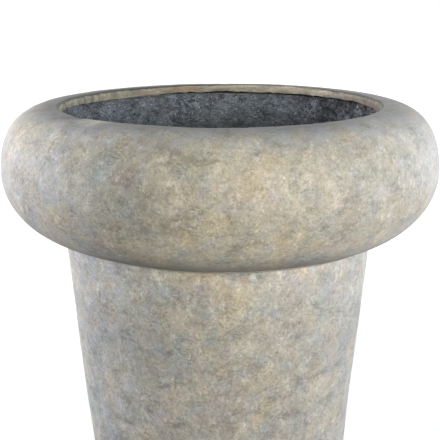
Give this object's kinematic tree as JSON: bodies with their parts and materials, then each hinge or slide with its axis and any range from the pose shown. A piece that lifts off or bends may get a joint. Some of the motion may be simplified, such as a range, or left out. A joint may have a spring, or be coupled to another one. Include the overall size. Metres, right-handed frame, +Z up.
{
  "type": "planter",
  "caption": "Round tapered garden planter with a fat hollow rolled rim, weathered limestone finish, dark raw inside, a drain hole with a lift-out rubber plug, and rubber pads under the base.",
  "frame": {"origin": "on the ground, under the centre of the pot, level with the undersides of the rubber pads", "axes": "+Z up along the pot's axis; the pictured side faces -Y, with +X to its right"},
  "size_m": [0.76, 0.76, 0.7],
  "materials": {
    "limestone_finish": "weathered, sealed to a low satin",
    "mortar": "rough",
    "black_rubber": "matte"
  },
  "bodies": {
    "planter": {"pot_body": "limestone_finish", "rolled_rim": "limestone_finish", "rim_bed_mortar": "mortar", "rim_skirt_mortar": "mortar", "foot_pad_1": "black_rubber", "foot_pad_2": "black_rubber", "foot_pad_3": "black_rubber", "foot_pad_4": "black_rubber"},
    "drain_plug": {"drain_plug": "black_rubber"}
  },
  "joints": [
    {"name": "drain_plug_lift", "type": "slide", "parent": "planter", "child": "drain_plug", "axis": [0, 0, 1], "range_m": [0, 0.06]}
  ]
}
